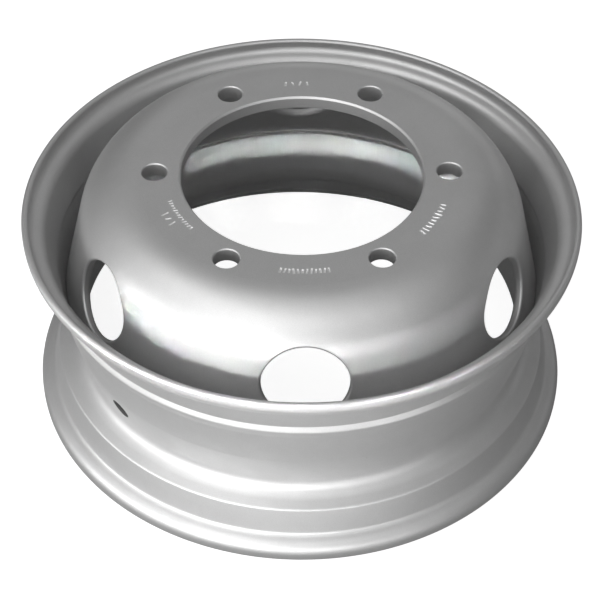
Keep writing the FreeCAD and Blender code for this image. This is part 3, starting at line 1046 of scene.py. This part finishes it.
@dataclass(frozen=True)
class PhotoCamera:
    """The camera of the photograph, in the wheel's own frame."""

    place: tuple = (-0.00072, -1.07356, 1.10859)
    pitch_degrees: float = 44.037
    roll_degrees: float = 0.570
    swing_degrees: float = -1.29
    lens: float = 100.531
    sensor: float = 36.0
    farthest: float = 50.0

    def build(self) -> Piece:
        """Makes the camera and makes it the scene's own.

        Returns:
            The camera object.
        """
        pitch = math.radians(self.pitch_degrees)
        roll = math.radians(self.roll_degrees)
        ahead = Vector((0.0, math.cos(pitch), -math.sin(pitch)))
        right = Vector((1.0, 0.0, 0.0))
        above = right.cross(ahead)
        side = right * math.cos(roll) + above * math.sin(roll)
        top = above * math.cos(roll) - right * math.sin(roll)
        turn = Matrix((side, top, -ahead)).transposed().to_4x4()
        data = bpy.data.cameras.new("photo_camera")
        data.sensor_fit = "HORIZONTAL"
        data.sensor_width = self.sensor
        data.lens = self.lens
        data.clip_end = self.farthest
        camera = added("photo_camera", data)
        camera.matrix_world = Matrix.Rotation(math.radians(self.swing_degrees), 4, "Z") @ (
            Matrix.Translation(self.place) @ turn)
        bpy.context.scene.camera = camera
        return camera


class LampShape(Enum):
    """Outline of a lamp's glowing face."""

    BOX = "RECTANGLE"
    OVAL = "ELLIPSE"


@dataclass(frozen=True)
class Softbox:
    """One large soft lamp: its bearing to the right of the front, its height angle and its glow."""

    name: str
    bearing_degrees: float
    height_degrees: float
    width: float
    height: float
    glow: float
    distance: float = 2.2
    aim: tuple = (0.0, 0.0, 0.10)
    spread_degrees: float = 180.0
    shape: LampShape = LampShape.BOX

    def build(self) -> Piece:
        """Hangs the lamp.

        Returns:
            The lamp object.
        """
        data = bpy.data.lights.new(self.name, "AREA")
        data.shape = self.shape.value
        data.size = self.width
        data.size_y = self.height
        data.spread = math.radians(self.spread_degrees)
        data.energy = self.glow * math.pi * self.width * self.height
        lamp = added(self.name, data)
        bearing, lift = math.radians(self.bearing_degrees), math.radians(self.height_degrees)
        away = Vector((math.sin(bearing) * math.cos(lift), -math.cos(bearing) * math.cos(lift),
                       math.sin(lift)))
        lamp.location = Vector(self.aim) + away * self.distance
        lamp.rotation_euler = (-away).to_track_quat("-Z", "Y").to_euler()
        return lamp


@dataclass(frozen=True)
class BeamFan:
    """A fan of narrow beams that meet the wheel along one ring, over the front edge."""

    name: str
    step_degrees: float
    steps_a_side: int
    height_degrees: float
    reach: float
    level: float
    width: float
    depth: float
    glow: float
    lean: float
    follow: float = 1.0
    distance: float = 0.75
    spread_degrees: float = 2.0

    def beams(self) -> list:
        """Lays out the beams; a reach over 0 crosses the axis, one below 0 stays on the near side.

        Returns:
            The beams, from the left to the right.
        """
        row = []
        for step in range(-self.steps_a_side, self.steps_a_side + 1):
            bearing = step * self.step_degrees
            turn = math.radians(bearing * self.follow)
            aim = (-self.reach * math.sin(turn), self.reach * math.cos(turn), self.level)
            glow = self.glow * (1.0 - self.lean * step / self.steps_a_side)
            row.append(Softbox(
                f"{self.name}_beam_{step + self.steps_a_side}", bearing, self.height_degrees,
                self.width, self.depth, glow, self.distance, aim, self.spread_degrees,
                LampShape.OVAL))
        return row


@dataclass
class Studio:
    """Pale floor and surround, and the soft lamps over them."""

    floor_radius: float = 6.0
    floor_sides: int = 64
    floor_gap: float = 0.0002
    floor_tone: float = 0.2
    shadow_tone: float = 0.42
    floor_glow: float = 0.89
    shine_share: float = 0.04
    surround: float = 0.05
    # Each lamp: bearing and height angle, width, height and glow; a card also distance and aim.
    lamps: tuple = (
        Softbox("low_left_box", -62.0, 10.0, 2.0, 0.8, 3.95),
        Softbox("low_front_box", -12.0, 10.0, 2.2, 0.8, 4.05),
        Softbox("low_right_box", 30.0, 10.0, 1.0, 0.8, 1.6),
        Softbox("left_box", -80.0, 35.0, 1.8, 1.0, 0.65),
        Softbox("front_box", -30.0, 35.0, 2.0, 1.0, 1.65),
        Softbox("right_box", 40.0, 38.0, 1.6, 1.0, 0.4),
        Softbox("high_left_box", -70.0, 60.0, 1.8, 0.9, 2.0),
        Softbox("high_front_box", 5.0, 60.0, 1.8, 0.9, 1.35),
        Softbox("high_right_box", 75.0, 60.0, 1.6, 0.9, 0.3),
        Softbox("back_box", 175.0, 42.0, 2.4, 1.2, 0.25),
        Softbox("low_back_box", 165.0, 8.0, 2.4, 0.8, 0.55),
        Softbox("low_far_right_box", 110.0, 10.0, 1.6, 0.8, 0.3),
        Softbox("top_box", 0.0, 90.0, 1.2, 1.2, 0.72),
        Softbox("front_floor_card", 0.0, -90.0, 1.0, 0.22, 2.5, 0.997, (-0.05, -0.50, 1.0)),
        Softbox("left_floor_card", 0.0, -90.0, 0.3, 0.8, 2.1, 0.997, (-0.62, -0.35, 1.0)),
    )
    fans: tuple = (
        BeamFan("bore", step_degrees=11.0, steps_a_side=5, height_degrees=34.0, reach=0.199,
                level=0.090, width=0.085, depth=0.010, glow=1.2, lean=0.4),
        BeamFan("flank", step_degrees=12.0, steps_a_side=6, height_degrees=24.0, reach=-0.189,
                level=0.175, width=0.075, depth=0.014, glow=0.55, lean=0.85, follow=0.6,
                spread_degrees=3.0),
    )

    def build(self) -> None:
        """Builds the surround, the floor and the lamps."""
        self.build_surround()
        self.build_floor()
        for lamp in (*self.lamps, *(beam for fan in self.fans for beam in fan.beams())):
            lamp.build()

    def seen(self, wires: Wiring) -> Socket:
        """Gives 1 to rays that come straight from the camera, and a share to mirrored ones.

        Args:
            wires: Wiring of the tree that uses it.

        Returns:
            The share of plain white that a ray sees.
        """
        path = wires.add("ShaderNodeLightPath")
        mirrored = wires.math("MAXIMUM", path.outputs["Is Glossy Ray"],
                              path.outputs["Is Transmission Ray"])
        shine = wires.math("MULTIPLY", mirrored, self.shine_share)
        return wires.math("MAXIMUM", path.outputs["Is Camera Ray"], shine)

    def build_surround(self) -> None:
        """Makes the world white to the camera and a calm grey to the lamps' bounce."""
        world = bpy.data.worlds.new("surround")
        wires = cleared(world)
        colour = wires.blend(self.seen(wires), grey(self.surround), grey(1.0))
        sky = wires.put("ShaderNodeBackground", {"Color": colour, "Strength": 1.0})
        wires.feed(wires.add("ShaderNodeOutputWorld").inputs["Surface"], sky)
        bpy.context.scene.world = world

    def build_floor(self) -> None:
        """Lays a round pale floor just under the wheel."""
        mesh = bpy.data.meshes.new("studio_floor")
        shape = bmesh.new()
        bmesh.ops.create_circle(shape, cap_ends=True, radius=self.floor_radius,
                                segments=self.floor_sides)
        bmesh.ops.translate(shape, verts=shape.verts, vec=(0.0, 0.0, -self.floor_gap))
        shape.to_mesh(mesh)
        shape.free()
        floor = added("studio_floor", mesh)
        material = bpy.data.materials.new("pale_floor")
        wires = cleared(material)
        camera = wires.add("ShaderNodeLightPath").outputs["Is Camera Ray"]
        tone = wires.blend(camera, grey(self.floor_tone), grey(self.shadow_tone))
        matt = wires.put("ShaderNodeBsdfDiffuse", {"Color": tone})
        glow = wires.math("MULTIPLY", self.seen(wires), self.floor_glow)
        white = wires.put("ShaderNodeEmission", {"Color": grey(1.0), "Strength": glow})
        both = wires.put("ShaderNodeAddShader", {0: matt, 1: white})
        wires.feed(wires.add("ShaderNodeOutputMaterial").inputs["Surface"], both)
        mesh.materials.append(material)


def main() -> None:
    """Builds the studio, then the wheel's pieces in order."""
    logging.basicConfig(level=logging.INFO, format="%(name)s: %(message)s")
    bpy.context.scene.view_settings.view_transform = "Standard"
    PhotoCamera().build()
    Studio().build()
    rolled, pressed, welded = (SilverPaint(texture).material()
                               for texture in (Texture.ROLLED, Texture.PRESSED, Texture.WELDED))
    # Near-black paint on the valve hole's walls and bevel: painted shade in the hole.
    shaded_hole_paint = SilverPaint(Texture.DRILLED, light=grey(0.074), dark=grey(0.044), worn=grey(0.045),
                       metallic=0.4, roughness=(0.6, 0.75)).material()
    # Lighter paint in the pressed strokes: a painted highlight where their walls catch the light.
    stroke_highlight_paint = SilverPaint(Texture.STAMPED, light=grey(0.88), dark=grey(0.74), worn=grey(0.95),
                         metallic=0.6).material()
    TurnedRim().build(rolled, shaded_hole_paint)
    StampedDisc().build(pressed, stroke_highlight_paint)
    WeldRun().build(welded)


if __name__ == "__main__":
    main()
